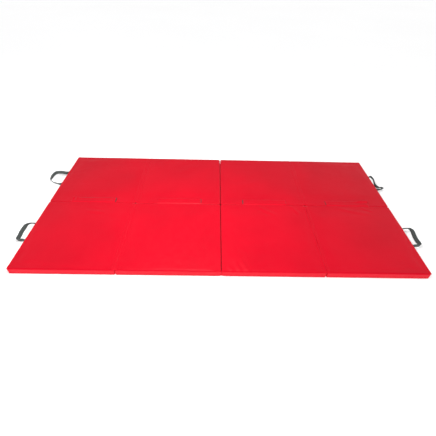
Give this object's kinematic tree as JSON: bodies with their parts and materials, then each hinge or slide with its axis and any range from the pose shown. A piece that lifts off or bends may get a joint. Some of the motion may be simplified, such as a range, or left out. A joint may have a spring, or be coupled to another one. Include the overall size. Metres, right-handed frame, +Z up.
{
  "type": "folding gym mat",
  "caption": "Pair of folding foam gym mats linked side by side by hook-and-loop flaps, with webbing carry handles at their ends.",
  "frame": {"origin": "on the floor under the middle of the linked pair of mats, lying flat", "axes": "+X along the mats from the left end to the right end, +Y from the front mat to the rear mat, +Z up"},
  "size_m": [2.6284, 1.2, 0.0432],
  "materials": {
    "vinyl": "satin",
    "vinyl_band": "satin",
    "vinyl_base": "matte",
    "foam": "matte",
    "hook_and_loop": "matte",
    "webbing": "matte"
  },
  "bodies": {
    "front_panel_1": {"front_panel_1_foam_core": "foam", "front_panel_1_top_cover": "vinyl", "front_panel_1_side_band": "vinyl_band", "front_panel_1_base_cover": "vinyl_base", "handle_patches_front_left": "webbing"},
    "front_panel_2": {"front_panel_2_foam_core": "foam", "front_panel_2_top_cover": "vinyl", "front_panel_2_side_band": "vinyl_band", "front_panel_2_base_cover": "vinyl_base", "front_hinge_strip_12": "vinyl_band", "front_hinge_strip_23": "vinyl_band"},
    "front_panel_3": {"front_panel_3_foam_core": "foam", "front_panel_3_top_cover": "vinyl", "front_panel_3_side_band": "vinyl_band", "front_panel_3_base_cover": "vinyl_base", "front_hinge_strip_34": "vinyl_band"},
    "front_panel_4": {"front_panel_4_foam_core": "foam", "front_panel_4_top_cover": "vinyl", "front_panel_4_side_band": "vinyl_band", "front_panel_4_base_cover": "vinyl_base", "handle_patches_front_right": "webbing"},
    "rear_panel_1": {"rear_panel_1_foam_core": "foam", "rear_panel_1_top_cover": "vinyl", "rear_panel_1_side_band": "vinyl_band", "rear_panel_1_base_cover": "vinyl_base", "handle_patches_rear_left": "webbing", "loop_tape_1": "hook_and_loop"},
    "rear_panel_2": {"rear_panel_2_foam_core": "foam", "rear_panel_2_top_cover": "vinyl", "rear_panel_2_side_band": "vinyl_band", "rear_panel_2_base_cover": "vinyl_base", "rear_hinge_strip_12": "vinyl_band", "rear_hinge_strip_23": "vinyl_band", "loop_tape_2": "hook_and_loop"},
    "rear_panel_3": {"rear_panel_3_foam_core": "foam", "rear_panel_3_top_cover": "vinyl", "rear_panel_3_side_band": "vinyl_band", "rear_panel_3_base_cover": "vinyl_base", "rear_hinge_strip_34": "vinyl_band", "loop_tape_3": "hook_and_loop"},
    "rear_panel_4": {"rear_panel_4_foam_core": "foam", "rear_panel_4_top_cover": "vinyl", "rear_panel_4_side_band": "vinyl_band", "rear_panel_4_base_cover": "vinyl_base", "handle_patches_rear_right": "webbing", "loop_tape_4": "hook_and_loop"},
    "flap_1": {"flap_1": "vinyl", "hook_tape_1": "hook_and_loop"},
    "flap_2": {"flap_2": "vinyl", "hook_tape_2": "hook_and_loop"},
    "flap_3": {"flap_3": "vinyl", "hook_tape_3": "hook_and_loop"},
    "flap_4": {"flap_4": "vinyl", "hook_tape_4": "hook_and_loop"},
    "handle_front_left": {"handle_front_left": "webbing"},
    "handle_front_right": {"handle_front_right": "webbing"},
    "handle_rear_left": {"handle_rear_left": "webbing"},
    "handle_rear_right": {"handle_rear_right": "webbing"}
  },
  "joints": [
    {"name": "front_left_fold", "type": "hinge", "parent": "front_panel_2", "child": "front_panel_1", "pos_m": [-0.6, -0.3, 0.0434], "axis": [0, 1, 0], "range_deg": [0, 179]},
    {"name": "front_middle_fold", "type": "hinge", "parent": "front_panel_2", "child": "front_panel_3", "pos_m": [0, -0.3, -0.0002], "axis": [0, 1, 0], "range_deg": [0, 179]},
    {"name": "front_right_fold", "type": "hinge", "parent": "front_panel_3", "child": "front_panel_4", "pos_m": [0.6, -0.3, 0.0434], "axis": [0, -1, 0], "range_deg": [0, 179]},
    {"name": "rear_mat_slide", "type": "slide", "parent": "front_panel_2", "child": "rear_panel_2", "axis": [0, 1, 0], "range_m": [0, 0.3]},
    {"name": "rear_left_fold", "type": "hinge", "parent": "rear_panel_2", "child": "rear_panel_1", "pos_m": [-0.6, 0.3, 0.0434], "axis": [0, 1, 0], "range_deg": [0, 179]},
    {"name": "rear_middle_fold", "type": "hinge", "parent": "rear_panel_2", "child": "rear_panel_3", "pos_m": [0, 0.3, -0.0002], "axis": [0, 1, 0], "range_deg": [0, 179]},
    {"name": "rear_right_fold", "type": "hinge", "parent": "rear_panel_3", "child": "rear_panel_4", "pos_m": [0.6, 0.3, 0.0434], "axis": [0, -1, 0], "range_deg": [0, 179]},
    {"name": "flap_1_peel", "type": "hinge", "parent": "front_panel_1", "child": "flap_1", "pos_m": [-0.9, -0.0015, 0.0418], "axis": [1, 0, 0], "range_deg": [0, 179]},
    {"name": "flap_2_peel", "type": "hinge", "parent": "front_panel_2", "child": "flap_2", "pos_m": [-0.3, -0.0015, 0.0418], "axis": [1, 0, 0], "range_deg": [0, 179]},
    {"name": "flap_3_peel", "type": "hinge", "parent": "front_panel_3", "child": "flap_3", "pos_m": [0.3, -0.0015, 0.0418], "axis": [1, 0, 0], "range_deg": [0, 179]},
    {"name": "flap_4_peel", "type": "hinge", "parent": "front_panel_4", "child": "flap_4", "pos_m": [0.9, -0.0015, 0.0418], "axis": [1, 0, 0], "range_deg": [0, 179]},
    {"name": "handle_front_left_swing", "type": "hinge", "parent": "front_panel_1", "child": "handle_front_left", "pos_m": [-1.2016, -0.3, 0.026], "axis": [0, 1, 0], "range_deg": [-75, 100]},
    {"name": "handle_front_right_swing", "type": "hinge", "parent": "front_panel_4", "child": "handle_front_right", "pos_m": [1.2016, -0.3, 0.026], "axis": [0, 1, 0], "range_deg": [-100, 75]},
    {"name": "handle_rear_left_swing", "type": "hinge", "parent": "rear_panel_1", "child": "handle_rear_left", "pos_m": [-1.2016, 0.3, 0.026], "axis": [0, 1, 0], "range_deg": [-75, 100]},
    {"name": "handle_rear_right_swing", "type": "hinge", "parent": "rear_panel_4", "child": "handle_rear_right", "pos_m": [1.2016, 0.3, 0.026], "axis": [0, 1, 0], "range_deg": [-100, 75]}
  ],
  "couplings": [
    {"joint": "rear_left_fold", "follows": "front_left_fold", "ratio": 1},
    {"joint": "rear_middle_fold", "follows": "front_middle_fold", "ratio": 1},
    {"joint": "rear_right_fold", "follows": "front_right_fold", "ratio": 1}
  ]
}
